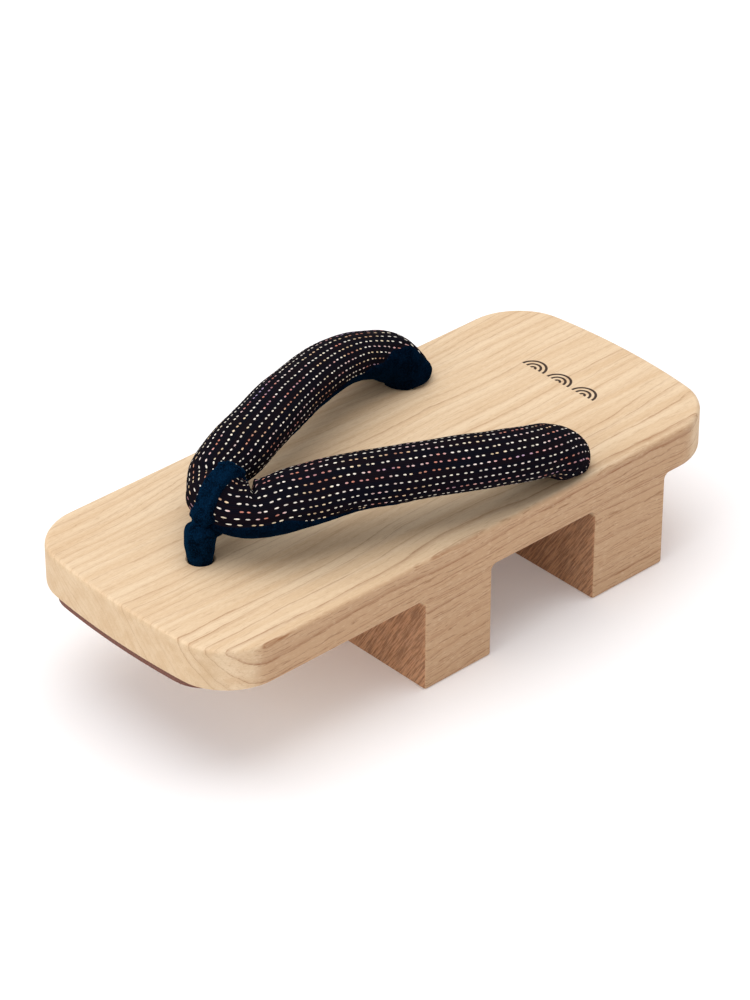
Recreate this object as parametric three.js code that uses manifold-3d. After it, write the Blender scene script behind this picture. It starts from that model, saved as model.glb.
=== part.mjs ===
// A men's geta: a one-piece wooden sandal on two teeth, with a padded V-shaped cloth strap.
// Millimetres, +Z up. The origin is on the ground under the middle of the wooden base.
// The toe points towards -Y, the heel towards +Y.
import * as THREE from "three";
import * as BufferGeometryUtils from "three/addons/utils/BufferGeometryUtils.js";
import Module from "manifold-3d";

const wasm = await Module();
wasm.setup();

// Wooden base: a flat deck and two teeth, cut from one block
const DECK_LENGTH = 250;
const DECK_WIDTH = 109;
const DECK_TOP = 55;
const DECK_BOTTOM = 38.5;
const TOP_EDGE_RADIUS = 2.6;
const BOTTOM_EDGE_RADIUS = 1.2;
const TOE_END = { endRadius: 340, cornerRadius: 20 };
const HEEL_END = { endRadius: 250, cornerRadius: 18 };
const FRONT_TOOTH = { front: -29.5, back: 3 };
const REAR_TOOTH = { front: 54.5, back: 91 };
const TOOTH_ROOT_FILLET = 2;
const TOOTH_EDGE_RADIUS = 1.5;
const TOOTH_SIDE_BEVEL = 1;
const ROOT_OVERLAP = 5;

// Holes that the strap's cords go down through
const FRONT_HOLE = { x: 0, y: -85.6, radius: 4.7 };
const REAR_HOLE = { x: 40.5, y: 48.8, radius: 4.2 };

// Clearance between pieces that meet along a curve
const GAP = 0.3;

// Edges shorter than this are merged after a cut
const SLIVER = 0.02;

// Thin pad glued under the toe
const PAD_THICKNESS = 2.2;
const PAD_INSET = 0.8;
const PAD_HALF_WIDTH = 44;
const PAD_REACH = 24;
const PAD_CORNER = 12;

// Padded strap: each arm is a soft tube with an oval section.
// Stations run from the toe to the heel on the +X side. tilt leans the face outwards, in degrees.
const ARM_STATIONS = [
  { at: [5.8, -76.2, 75.0], halfWidth: 9.8, halfThickness: 6.0, tilt: 42 },
  { at: [10.8, -71.7, 74.3], halfWidth: 10.0, halfThickness: 6.8, tilt: 28 },
  { at: [14.4, -64.0, 75.1], halfWidth: 11.4, halfThickness: 7.6, tilt: 14 },
  { at: [17.9, -54.0, 76.2], halfWidth: 12.8, halfThickness: 7.8, tilt: 7 },
  { at: [22.4, -42.3, 77.1], halfWidth: 12.8, halfThickness: 7.8, tilt: 6 },
  { at: [27.0, -30.8, 77.1], halfWidth: 12.8, halfThickness: 7.8, tilt: 7 },
  { at: [31.4, -20.2, 76.6], halfWidth: 12.8, halfThickness: 7.8, tilt: 7 },
  { at: [35.5, -9.5, 75.9], halfWidth: 12.7, halfThickness: 7.8, tilt: 7 },
  { at: [39.6, 1.8, 74.9], halfWidth: 12.7, halfThickness: 7.8, tilt: 7 },
  { at: [43.2, 13.8, 73.4], halfWidth: 12.7, halfThickness: 7.8, tilt: 6 },
  { at: [45.1, 25.5, 71.3], halfWidth: 12.7, halfThickness: 8.0, tilt: 5 },
  { at: [45.0, 36.0, 68.2], halfWidth: 12.4, halfThickness: 8.3, tilt: 2 },
  { at: [43.3, 44.6, 64.0], halfWidth: 11.8, halfThickness: 8.9, tilt: 0 },
  { at: [41.2, 49.4, 57.3], halfWidth: 10.9, halfThickness: 9.6, tilt: 0 },
  { at: [40.6, 50.6, 49.0], halfWidth: 10.5, halfThickness: 9.6, tilt: 0 },
];
const ARM_NOSE = 3;
const ARM_STEPS = 42;
const NOSE_STEPS = 4;

// Middle of the strap, where the two arms are joined under the toe loop
const BRIDGE = { y: -76.4, z: 75.8, halfWidth: 11.2, halfThickness: 6.6, halfSpan: 13, lean: 56 };
const BRIDGE_STEPS = 8;
const SECTION_POINTS = 20;

// Toe loop: a velvet band round the middle of the strap, on a stuffed post
const BAND_THICKNESS = 2.1;
const BAND_HALF_WIDTH = 6.4;
const POST_BULGE = 5.8;
const POST_WAIST = 4.2;
const POST_TOP = 73;
const POST_FOOT = 49;

// Cords under the deck
const CORD_RADIUS = 2.6;
const CORD_DROP = 3.9;
const FRONT_KNOT = { radius: 6.6, height: 7 };
const REAR_KNOT = { length: 8.5, breadth: 5, height: 3.4 };

const paleWood = new THREE.MeshStandardMaterial({ color: 0xe6cda6, roughness: 0.62, metalness: 0 });
const padRubber = new THREE.MeshStandardMaterial({ color: 0x7d4b3c, roughness: 0.8, metalness: 0 });
const stripedCloth = new THREE.MeshStandardMaterial({ color: 0x1d1a26, roughness: 0.85, metalness: 0 });
const blueVelvet = new THREE.MeshStandardMaterial({ color: 0x10203f, roughness: 0.95, metalness: 0 });
const cottonCord = new THREE.MeshStandardMaterial({ color: 0xd8cfbd, roughness: 0.9, metalness: 0 });

// Turns a closed BufferGeometry into a manifold solid
function toSolid(geometry) {
  const bare = geometry.index ? geometry.clone() : geometry;
  bare.deleteAttribute("normal");
  bare.deleteAttribute("uv");
  const merged = BufferGeometryUtils.mergeVertices(bare, 1e-4);
  const solidMesh = new wasm.Mesh({
    numProp: 3,
    vertProperties: new Float32Array(merged.attributes.position.array),
    triVerts: new Uint32Array(merged.index.array),
  });
  return new wasm.Manifold(solidMesh);
}

// Turns a manifold solid back into a BufferGeometry, without the slivers that a cut leaves
function toGeometry(solid) {
  const { vertProperties, triVerts } = solid.asOriginal().simplify(SLIVER).getMesh();
  const geometry = new THREE.BufferGeometry();
  geometry.setAttribute("position", new THREE.BufferAttribute(new Float32Array(vertProperties), 3));
  geometry.setIndex(new THREE.BufferAttribute(new Uint32Array(triVerts), 1));
  geometry.computeVertexNormals();
  return geometry;
}

// One end of the deck's outline: a shallow arc between two rounded corners, from +X to -X for the heel.
// side is +1 at the heel and -1 at the toe.
function addDeckEnd(path, end, side) {
  const cornerX = DECK_WIDTH / 2 - end.cornerRadius;
  const arcCentreY = side * (DECK_LENGTH / 2 - end.endRadius);
  const centreDistance = end.endRadius - end.cornerRadius;
  const cornerY = arcCentreY + side * Math.sqrt(centreDistance ** 2 - cornerX ** 2);
  const meet = Math.atan2(Math.abs(cornerY - arcCentreY), cornerX);
  const start = side > 0 ? 0 : Math.PI;
  path.absarc(side * cornerX, cornerY, end.cornerRadius, start, start + meet, false);
  path.absarc(0, arcCentreY, end.endRadius, start + meet, start + Math.PI - meet, false);
  path.absarc(-side * cornerX, cornerY, end.cornerRadius, start + Math.PI - meet, start + Math.PI, false);
}

// A flat board with rounded edges, from a plan outline
function board(outline, bottom, top, edgeRadius, curveSegments) {
  const geometry = new THREE.ExtrudeGeometry(outline, {
    depth: top - bottom - 2 * edgeRadius,
    bevelEnabled: true,
    bevelThickness: edgeRadius,
    bevelSize: edgeRadius,
    bevelOffset: -edgeRadius,
    bevelSegments: 3,
    curveSegments,
  });
  return geometry.translate(0, 0, bottom + edgeRadius);
}

// A tooth's side profile, drawn in Y and Z, with filleted roots that blend into the deck
function toothProfile(tooth) {
  const rootTop = DECK_BOTTOM + ROOT_OVERLAP;
  const filletY = DECK_BOTTOM - TOOTH_ROOT_FILLET;
  const r = TOOTH_EDGE_RADIUS;
  const profile = new THREE.Shape();
  profile.moveTo(tooth.back + TOOTH_ROOT_FILLET, rootTop);
  profile.lineTo(tooth.front - TOOTH_ROOT_FILLET, rootTop);
  profile.absarc(tooth.front - TOOTH_ROOT_FILLET, filletY, TOOTH_ROOT_FILLET, Math.PI / 2, 0, true);
  profile.absarc(tooth.front + r, r, r, Math.PI, Math.PI * 1.5, false);
  profile.absarc(tooth.back - r, r, r, -Math.PI / 2, 0, false);
  profile.absarc(tooth.back + TOOTH_ROOT_FILLET, filletY, TOOTH_ROOT_FILLET, Math.PI, Math.PI / 2, true);
  return profile;
}

// A tooth across the full width of the deck
function toothSolid(tooth) {
  const geometry = new THREE.ExtrudeGeometry(toothProfile(tooth), {
    depth: DECK_WIDTH - 2 * TOOTH_SIDE_BEVEL,
    bevelEnabled: true,
    bevelThickness: TOOTH_SIDE_BEVEL,
    bevelSize: TOOTH_SIDE_BEVEL,
    bevelOffset: -TOOTH_SIDE_BEVEL,
    bevelSegments: 2,
    curveSegments: 5,
  });
  geometry.translate(0, 0, -DECK_WIDTH / 2 + TOOTH_SIDE_BEVEL);
  geometry.applyMatrix4(new THREE.Matrix4().makeBasis(
    new THREE.Vector3(0, 1, 0),
    new THREE.Vector3(0, 0, 1),
    new THREE.Vector3(1, 0, 0),
  ));
  return toSolid(geometry);
}

// A vertical round hole right through the deck
function holeCutter(hole, x) {
  const depth = (DECK_TOP - DECK_BOTTOM) * 2;
  const geometry = new THREE.CylinderGeometry(hole.radius, hole.radius, depth, 24);
  geometry.rotateX(Math.PI / 2);
  return toSolid(geometry.translate(x, hole.y, (DECK_TOP + DECK_BOTTOM) / 2));
}

function makeBase() {
  const outline = new THREE.Shape();
  addDeckEnd(outline, HEEL_END, 1);
  addDeckEnd(outline, TOE_END, -1);
  outline.closePath();
  const lower = board(outline, DECK_BOTTOM, DECK_TOP - TOP_EDGE_RADIUS, BOTTOM_EDGE_RADIUS, 10);
  const upper = board(outline, DECK_BOTTOM + BOTTOM_EDGE_RADIUS, DECK_TOP, TOP_EDGE_RADIUS, 10);
  let base = toSolid(lower).add(toSolid(upper));
  base = base.add(toothSolid(FRONT_TOOTH)).add(toothSolid(REAR_TOOTH));
  base = base.subtract(holeCutter(FRONT_HOLE, FRONT_HOLE.x));
  base = base.subtract(holeCutter(REAR_HOLE, REAR_HOLE.x));
  base = base.subtract(holeCutter(REAR_HOLE, -REAR_HOLE.x));
  return toGeometry(base);
}

// The toe pad follows the deck's toe, a little inside it
function makeToePad() {
  const toeY = -DECK_LENGTH / 2 + PAD_INSET;
  const backY = toeY + PAD_REACH;
  const bow = PAD_HALF_WIDTH ** 2 / (2 * TOE_END.endRadius);
  const outline = new THREE.Shape();
  outline.moveTo(-PAD_HALF_WIDTH, backY);
  outline.lineTo(-PAD_HALF_WIDTH, toeY + bow + PAD_CORNER);
  outline.quadraticCurveTo(-PAD_HALF_WIDTH, toeY + bow, -PAD_HALF_WIDTH + PAD_CORNER, toeY + bow / 2);
  outline.quadraticCurveTo(0, toeY - bow / 2, PAD_HALF_WIDTH - PAD_CORNER, toeY + bow / 2);
  outline.quadraticCurveTo(PAD_HALF_WIDTH, toeY + bow, PAD_HALF_WIDTH, toeY + bow + PAD_CORNER);
  outline.lineTo(PAD_HALF_WIDTH, backY);
  outline.closePath();
  const geometry = new THREE.ExtrudeGeometry(outline, {
    depth: PAD_THICKNESS,
    bevelEnabled: false,
    curveSegments: 8,
  });
  return geometry.translate(0, 0, DECK_BOTTOM - PAD_THICKNESS);
}

// An oval ring of points round a centre
function ovalRing(centre, across, normal, halfWidth, halfThickness) {
  return Array.from({ length: SECTION_POINTS }, (_, i) => {
    const angle = (i / SECTION_POINTS) * 2 * Math.PI;
    return centre.clone()
      .addScaledVector(across, halfWidth * Math.cos(angle))
      .addScaledVector(normal, halfThickness * Math.sin(angle));
  });
}

// A closed solid through a row of rings, with a point at the middle of each end
function loft(rings) {
  const positions = [];
  const indices = [];
  const count = rings[0].length;
  rings.forEach((ring) => ring.forEach((point) => positions.push(point.x, point.y, point.z)));
  const ends = [rings[0], rings[rings.length - 1]].map((ring) => {
    const middle = ring.reduce((sum, point) => sum.add(point), new THREE.Vector3()).divideScalar(count);
    positions.push(middle.x, middle.y, middle.z);
    return positions.length / 3 - 1;
  });
  const lastRow = (rings.length - 1) * count;
  for (let i = 0; i < count; i += 1) {
    const next = (i + 1) % count;
    for (let row = 0; row < lastRow; row += count) {
      indices.push(row + i, row + next, row + count + next);
      indices.push(row + i, row + count + next, row + count + i);
    }
    indices.push(ends[0], next, i);
    indices.push(ends[1], lastRow + i, lastRow + next);
  }
  const geometry = new THREE.BufferGeometry();
  geometry.setAttribute("position", new THREE.BufferAttribute(new Float32Array(positions), 3));
  geometry.setIndex(indices);
  return geometry;
}

// One arm of the strap on the +X side
function armSolid() {
  const centres = ARM_STATIONS.map((station) => new THREE.Vector3(...station.at));
  const sizes = ARM_STATIONS.map((station) => (
    new THREE.Vector3(station.halfWidth, station.halfThickness, station.tilt)
  ));
  const path = new THREE.CatmullRomCurve3(centres, false, "catmullrom");
  const sizeCurve = new THREE.CatmullRomCurve3(sizes, false, "catmullrom");
  const rings = [];
  const addRing = (t, shift, scale) => {
    const tangent = path.getTangent(t);
    const centre = path.getPoint(t).addScaledVector(tangent, shift);
    const size = sizeCurve.getPoint(t);
    const up = new THREE.Vector3(0, 0, 1).addScaledVector(tangent, -tangent.z).normalize();
    const outward = new THREE.Vector3().crossVectors(tangent, up);
    const lean = THREE.MathUtils.degToRad(size.z);
    const normal = up.clone().multiplyScalar(Math.cos(lean)).addScaledVector(outward, Math.sin(lean));
    const across = new THREE.Vector3().crossVectors(normal, tangent);
    rings.push(ovalRing(centre, across, normal, size.x * scale, size.y * scale));
  };
  for (let i = NOSE_STEPS; i > 0; i -= 1) {
    const s = Math.sin((i / (NOSE_STEPS + 0.5)) * Math.PI / 2);
    addRing(0, -s * ARM_NOSE, Math.sqrt(1 - s * s));
  }
  for (let i = 0; i <= ARM_STEPS; i += 1) {
    addRing(i / ARM_STEPS, 0, 1);
  }
  for (let i = 1; i <= NOSE_STEPS; i += 1) {
    const s = Math.sin((i / (NOSE_STEPS + 0.5)) * Math.PI / 2);
    addRing(1, s * ARM_NOSE, Math.sqrt(1 - s * s));
  }
  return toSolid(loft(rings));
}

// The strap's middle lies across the shoe and leans back. One oval ring of it, at a place along X.
function bridgeRing(x, wall, scale) {
  const lean = THREE.MathUtils.degToRad(BRIDGE.lean);
  return ovalRing(
    new THREE.Vector3(x, BRIDGE.y, BRIDGE.z),
    new THREE.Vector3(0, Math.cos(lean), Math.sin(lean)),
    new THREE.Vector3(0, -Math.sin(lean), Math.cos(lean)),
    (BRIDGE.halfWidth + wall) * scale,
    (BRIDGE.halfThickness + wall) * scale,
  );
}

function bridgeSolid() {
  const rings = [];
  for (let i = 1; i < 2 * BRIDGE_STEPS; i += 1) {
    const s = -Math.cos((i / (2 * BRIDGE_STEPS)) * Math.PI);
    rings.push(bridgeRing(s * BRIDGE.halfSpan, 0, Math.sqrt(1 - Math.abs(s) ** 3)));
  }
  return toSolid(loft(rings));
}

// An oval sleeve round the strap's middle, wall thicker all round
function sleeveSolid(wall, halfLength) {
  return toSolid(loft([bridgeRing(-halfLength, wall, 1), bridgeRing(halfLength, wall, 1)]));
}

// The whole strap: the band pinches its middle, and its ends rest just above the deck
function makeStrap() {
  const band = sleeveSolid(BAND_THICKNESS + 2 * GAP, BAND_HALF_WIDTH + GAP);
  const arm = armSolid();
  const arms = arm.add(arm.mirror([1, 0, 0])).subtract(band);
  const slab = new THREE.BoxGeometry(DECK_WIDTH * 2, DECK_LENGTH * 2, DECK_TOP);
  slab.translate(0, 0, DECK_TOP / 2 + GAP);
  return toGeometry(bridgeSolid().add(arms).subtract(toSolid(slab)));
}

// The toe loop's post, turned about a vertical axis
function postSolid() {
  const profile = new THREE.SplineCurve([
    new THREE.Vector2(POST_WAIST - 0.1, POST_FOOT),
    new THREE.Vector2(POST_WAIST - 0.1, DECK_TOP - 1.5),
    new THREE.Vector2(POST_BULGE - 0.7, DECK_TOP + 2),
    new THREE.Vector2(POST_BULGE, DECK_TOP + 8),
    new THREE.Vector2(POST_BULGE - 0.3, POST_TOP - 5),
    new THREE.Vector2(POST_WAIST, POST_TOP - 1),
  ]).getPoints(16);
  profile.unshift(new THREE.Vector2(0, POST_FOOT));
  profile.push(new THREE.Vector2(0, POST_TOP - 1));
  const geometry = new THREE.LatheGeometry(profile, 18);
  geometry.rotateX(Math.PI / 2);
  return toSolid(geometry.translate(FRONT_HOLE.x, FRONT_HOLE.y, 0));
}

// Where the band gathers into the post
function throatSolid() {
  const top = new THREE.Vector3(0, BRIDGE.y - 3.5, BRIDGE.z - 5);
  const bottom = new THREE.Vector3(0, FRONT_HOLE.y, POST_TOP - 4);
  const rings = [];
  const forward = new THREE.Vector3(0, -0.8, 0.6);
  const sideways = new THREE.Vector3(-1, 0, 0);
  for (let i = 0; i <= 5; i += 1) {
    const t = i / 5;
    rings.push(ovalRing(
      bottom.clone().lerp(top, t),
      sideways,
      forward,
      THREE.MathUtils.lerp(POST_WAIST, BAND_HALF_WIDTH, t * t),
      THREE.MathUtils.lerp(POST_WAIST, POST_WAIST + 1, t),
    ));
  }
  return toSolid(loft(rings));
}

function makeToeLoop() {
  const band = sleeveSolid(BAND_THICKNESS + GAP, BAND_HALF_WIDTH);
  const loop = band.add(throatSolid()).add(postSolid());
  return toGeometry(loop.subtract(sleeveSolid(GAP, BRIDGE.halfSpan)));
}

// A cord along a curve
function cordSolid(curve, steps) {
  const section = new THREE.Shape();
  section.absarc(0, 0, CORD_RADIUS, 0, 2 * Math.PI, false);
  return toSolid(new THREE.ExtrudeGeometry(section, {
    steps,
    bevelEnabled: false,
    extrudePath: curve,
    curveSegments: 5,
  }));
}

// The cord that ties the two arms' heel ends together under the deck
function makeHeelCord() {
  const { x, y } = REAR_HOLE;
  const runZ = DECK_BOTTOM - CORD_DROP;
  const half = [
    [x, y, DECK_TOP],
    [x, y, DECK_TOP - 8],
    [x, y, DECK_BOTTOM + 2],
    [x - 1.4, y, DECK_BOTTOM - 2.2],
    [x - 5.5, y, runZ],
    [x / 2, y, runZ],
  ];
  const points = half.map((p) => new THREE.Vector3(...p));
  points.push(new THREE.Vector3(0, y, runZ));
  half.slice().reverse().forEach((p) => points.push(new THREE.Vector3(-p[0], p[1], p[2])));
  const cord = cordSolid(new THREE.CatmullRomCurve3(points), 70);
  const knot = new THREE.SphereGeometry(1, 16, 10);
  knot.scale(REAR_KNOT.length, REAR_KNOT.breadth, REAR_KNOT.height).translate(0, y, runZ);
  return toGeometry(cord.add(toSolid(knot)));
}

// The toe loop's cord, knotted against the underside of the deck
function makeToeKnot() {
  const top = POST_FOOT - GAP;
  const knotTop = DECK_BOTTOM - GAP;
  const middle = knotTop - FRONT_KNOT.height / 2;
  const profile = [new THREE.Vector2(0, middle - FRONT_KNOT.height / 2)];
  for (let i = 1; i < 8; i += 1) {
    const angle = (i / 8) * Math.PI - Math.PI / 2;
    profile.push(new THREE.Vector2(
      FRONT_KNOT.radius * Math.cos(angle),
      middle + (FRONT_KNOT.height / 2) * Math.sin(angle),
    ));
  }
  profile.push(new THREE.Vector2(CORD_RADIUS, knotTop));
  profile.push(new THREE.Vector2(CORD_RADIUS, top));
  profile.push(new THREE.Vector2(0, top));
  const geometry = new THREE.LatheGeometry(profile, 18);
  geometry.rotateX(Math.PI / 2);
  return geometry.translate(FRONT_HOLE.x, FRONT_HOLE.y, 0);
}

const geta = new THREE.Group();

function addPiece(name, geometry, material) {
  const mesh = new THREE.Mesh(geometry, material);
  mesh.name = name;
  geta.add(mesh);
}

addPiece("wood_base", makeBase(), paleWood);
addPiece("toe_pad", makeToePad(), padRubber);
addPiece("strap", makeStrap(), stripedCloth);
addPiece("toe_loop", makeToeLoop(), blueVelvet);
addPiece("toe_knot", makeToeKnot(), cottonCord);
addPiece("heel_cord", makeHeelCord(), cottonCord);

export default geta;
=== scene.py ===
import math

import bmesh
import bpy
from mathutils import Matrix, Vector, noise


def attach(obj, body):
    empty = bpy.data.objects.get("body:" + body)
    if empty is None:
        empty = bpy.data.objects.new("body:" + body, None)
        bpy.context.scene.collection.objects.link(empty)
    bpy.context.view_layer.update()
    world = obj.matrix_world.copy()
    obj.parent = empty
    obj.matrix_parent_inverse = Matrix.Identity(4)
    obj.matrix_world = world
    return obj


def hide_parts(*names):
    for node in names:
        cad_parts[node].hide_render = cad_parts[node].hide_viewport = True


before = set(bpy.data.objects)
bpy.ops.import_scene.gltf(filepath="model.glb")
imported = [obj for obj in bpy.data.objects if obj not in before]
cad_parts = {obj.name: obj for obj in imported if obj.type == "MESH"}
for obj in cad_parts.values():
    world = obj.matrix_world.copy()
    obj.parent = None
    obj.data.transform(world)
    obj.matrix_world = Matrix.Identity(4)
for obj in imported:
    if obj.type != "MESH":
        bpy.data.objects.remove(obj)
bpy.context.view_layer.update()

# Shapes are drawn in millimetres and scaled to metres when a piece is finished.
# The toe points towards -Y, the heel towards +Y, and the ground is at z = 0.
MM = 0.001
TO_MM = (1000, 1000, 1000)
TURN_STEPS = 48

# Wooden base
DECK_HALF_LENGTH = 125.0
DECK_HALF_WIDTH = 54.5
DECK_TOP = 55.0
DECK_BOTTOM = 38.5
TOE_CURVE_RADIUS = 340.0
HEEL_CURVE_RADIUS = 250.0
CORNER_RADIUS = 20.0
TOP_EDGE_ROUNDING = 1.8
EDGE_ROUNDING = 1.1
ROOT_FILLET = 2.2
FRONT_TOOTH = (-29.5, 3.0)
REAR_TOOTH = (54.5, 91.0)
TOE_HOLE = (0.0, -85.6, 4.7)
HEEL_HOLES = ((40.5, 48.8, 4.2), (-40.5, 48.8, 4.2))
HOLE_FLARE = 0.6
CUTTER_OVERSHOOT = 5

# Toe pad
PAD_THICKNESS = 2.2
PAD_HALF_WIDTH = 44.0
PAD_REACH = 24.0
PAD_SETBACK = 0.8
PAD_CORNER_RADIUS = 14
PAD_EDGE_ROUNDING = 0.55

# Padded strap, from its middle under the toe loop to the heel on the +X side:
# x, y, z, half width, half thickness, and how far its face leans outwards in degrees
STRAP_STATIONS = (
    (0.0, -76.0, 75.6, 10.8, 6.2, 56),
    (5.6, -75.0, 74.8, 9.9, 6.0, 46),
    (10.2, -71.0, 74.0, 9.9, 6.4, 31),
    (14.4, -64.0, 75.1, 11.4, 7.6, 14),
    (17.9, -54.0, 76.2, 12.8, 7.8, 7),
    (22.4, -42.3, 77.1, 12.8, 7.8, 6),
    (27.0, -30.8, 77.1, 12.8, 7.8, 7),
    (31.4, -20.2, 76.6, 12.8, 7.8, 7),
    (35.5, -9.5, 75.9, 12.7, 7.8, 7),
    (39.6, 1.8, 74.9, 12.7, 7.8, 7),
    (43.2, 13.8, 73.4, 12.7, 7.8, 6),
    (45.1, 25.5, 71.3, 12.7, 8.0, 5),
    (45.0, 36.0, 68.2, 12.4, 8.3, 2),
    (43.3, 44.6, 64.0, 11.8, 8.9, 0),
    (41.2, 49.4, 57.3, 10.9, 9.6, 0),
    (40.7, 50.4, 53.0, 10.4, 9.4, 0),
)
# The girth scales the cloth's pattern, and what comes within SETTLING of STRAP_REST flattens out
STRAP_GIRTH = 66.0
STRAP_REST = DECK_TOP + 0.35
SETTLING = 1.2
PLUMPNESS = 2.1
CLOTH_COLUMNS, CLOTH_ROWS = 460, 104

# The lining's two edges round the strap, in degrees from its inner edge over the top:
# share of the half strap's length, outer edge on the +X arm, outer edge on the -X arm, inner edge
LINING_EDGES = (
    (0.00, 140, 176, 322),
    (0.06, 138, 178, 322),
    (0.12, 152, 182, 323),
    (0.20, 178, 190, 326),
    (0.28, 193, 198, 329),
    (0.38, 208, 210, 332),
    (0.50, 224, 224, 338),
    (0.70, 242, 242, 350),
    (0.80, 256, 256, 370),
    (0.87, 270, 270, 412),
    (0.93, 283, 283, 440),
    (1.00, 290, 290, 450),
)
LINING_COLUMNS, LINING_ROWS = 400, 40
LINING_END_GAP = 1.5
# How far its face, its edges and its back stand out from the cloth's own form
LINING_FACE, LINING_EDGE, LINING_BACK = 0.45, -0.5, -0.75

# How far the cloth's rows are turned round the strap: share of the half strap's length, degrees
CLOTH_TWIST = ((0.00, -44), (0.05, -38), (0.13, -17), (0.24, -5), (0.50, 0), (1.00, 2))

# Toe loop. The band's inside and its core are ovals, by their two half sizes, and the band's own
# half width is along X. It gathers round one angle of its turn, in degrees.
LOOP_CENTRE = Vector((0.0, -76.4, 75.8))
LOOP_LEAN = math.radians(56)
BAND_INSIDE = (11.0, 6.5)
BAND_CORE = (12.2, 7.6)
BAND_HALF_WIDTH = 8.3
GATHER_TURN = 232
GATHER_SPREAD = 34
VOXEL = 0.42
SMOOTHING_PASSES = 10

# The post's side outline: radius and height
POST_Y = TOE_HOLE[1]
POST_NECK_Z = 69.2
POST_OUTLINE = (
    (0.0, 50.0), (3.9, 50.2), (4.1, 54.2), (4.7, 56.0), (5.1, 58.4), (5.4, 61.0), (5.6, 63.6),
    (5.55, 66.0), (5.1, 67.8), (4.2, 69.1), (3.5, 70.0), (0.0, 70.8),
)

# Cords under the deck, with the heel cord's route from its hole to its end past the tie.
# Each route point is x, y past the hole, z; the other cord's route is this one turned half a turn.
STRANDS = 3
ROPE_SPACING = 0.6
TOE_CORD = {"radius": 1.7, "pitch": 6.0}
KNOT_POINTS = 27
KNOT_OPENING = 0.35
KNOT_SIZE = 1.45
KNOT_DEPTH = 1.35
KNOT_Z = 34.7
HEEL_CORD = {"radius": 1.95, "pitch": 7.0}
HEEL_CORD_ROUTE = (
    (40.5, 0.0, 54.6), (40.5, 0.0, 47.0), (40.5, 0.0, 41.0), (39.7, 0.0, 37.4), (36.3, 0.0, 34.9),
    (30.5, 0.2, 34.6), (26.0, 0.3, 34.6), (18.0, 0.2, 34.6), (11.0, 0.9, 34.6), (6.5, 2.0, 33.7),
    (2.0, 2.7, 35.4), (-3.2, 2.2, 35.8), (-5.6, 0.0, 34.6), (-3.4, -2.4, 33.3), (1.5, -2.6, 33.4),
    (5.5, -1.8, 35.2), (9.5, -3.6, 35.0), (12.5, -4.8, 34.8),
)

# Growth rings: the tree's heart in x and z, the radius where the count starts, and how close they are
TREE_HEART = (-170.0, -170.0)
FIRST_RING_RADIUS = 250.0
RINGS_PER_MM = 0.56

# Thread dashes, and the burnt row of three wave fans on the heel
DASH_HALF_SIZE = (0.64, 0.31)
WAVE_Y = 88.5
WAVE_PITCH = 13.0
WAVE_RADIUS = 6.2
WAVE_STROKE_PITCH = 2.05

# Camera and lights, in metres; each light's name, place, size and power
CAMERA_PLACE = (0.8775, -0.8084, 0.8207)
CAMERA_AIM = (-0.0146, 0.0099, 0.030)
CAMERA_LENS = 142.0
LIGHTS = (
    ("key", (-0.28, 0.05, 1.7), 2.2, 26.0),
    ("front_fill", (-0.1, -1.9, 0.8), 1.2, 13.0),
)


def ease(t):
    """A smooth step from 0 to 1."""
    t = min(1.0, max(0.0, t))
    return t * t * (3 - 2 * t)


def bump_at(x, centre, width):
    """A soft hump, 1 at the centre."""
    return math.exp(-(((x - centre) / width) ** 2))


def look_up(rows, x):
    """Reads the columns of a table of rows at x, smoothly between rows."""
    for low, high in zip(rows, rows[1:]):
        if x <= high[0]:
            t = ease((x - low[0]) / (high[0] - low[0]))
            return [a + (b - a) * t for a, b in zip(low[1:], high[1:])]
    return list(rows[-1][1:])


def degrees_from(angle, middle):
    """How far an angle is past a middle one, from -180 to 180 degrees."""
    return (angle - middle + 180) % 360 - 180


def new_object(name, data):
    made = bpy.data.objects.new(name, data)
    bpy.context.scene.collection.objects.link(made)
    return made


def mesh_object(name, bm):
    """An object with the shape as its mesh; the shape is used up."""
    mesh = bpy.data.meshes.new(name)
    bm.to_mesh(mesh)
    bm.free()
    return new_object(name, mesh)


def finish_piece(name, bm, material, slot, *nodes):
    """Makes the piece from a shape drawn in millimetres, and fits it to the frame."""
    bmesh.ops.scale(bm, vec=(MM, MM, MM), verts=bm.verts)
    piece = mesh_object(name, bm)
    piece.data.shade_smooth()
    piece.data.materials.append(material)
    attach(piece, "root")
    if nodes:
        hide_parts(*nodes)
    return piece


def face_outwards(bm):
    """Turns the faces of a closed shape outwards."""
    bmesh.ops.recalc_face_normals(bm, faces=bm.faces)
    if bm.calc_volume(signed=True) < 0:
        bmesh.ops.reverse_faces(bm, faces=bm.faces)


def apply_modifiers(bm, *modifiers):
    """Runs modifiers on a shape and returns the result as a new shape.
    Each modifier is its type and its settings; an object in the settings is removed afterwards."""
    holder = mesh_object("shape", bm)
    mesh = holder.data
    for kind, settings in modifiers:
        modifier = holder.modifiers.new(kind, kind)
        for key, value in settings.items():
            setattr(modifier, key, value)
    depsgraph = bpy.context.evaluated_depsgraph_get()
    result = bpy.data.meshes.new_from_object(holder.evaluated_get(depsgraph))
    made = bmesh.new()
    made.from_mesh(result)
    for _, settings in modifiers:
        if "object" in settings:
            bpy.data.objects.remove(settings["object"])
    bpy.data.objects.remove(holder)
    bpy.data.meshes.remove(mesh)
    bpy.data.meshes.remove(result)
    return made


def bevel(bm, geom, offset, segments, affect="EDGES"):
    bmesh.ops.bevel(
        bm, geom=geom, offset=offset, offset_type="OFFSET", segments=segments,
        profile=0.5, affect=affect, material=-1, clamp_overlap=True,
    )


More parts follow.
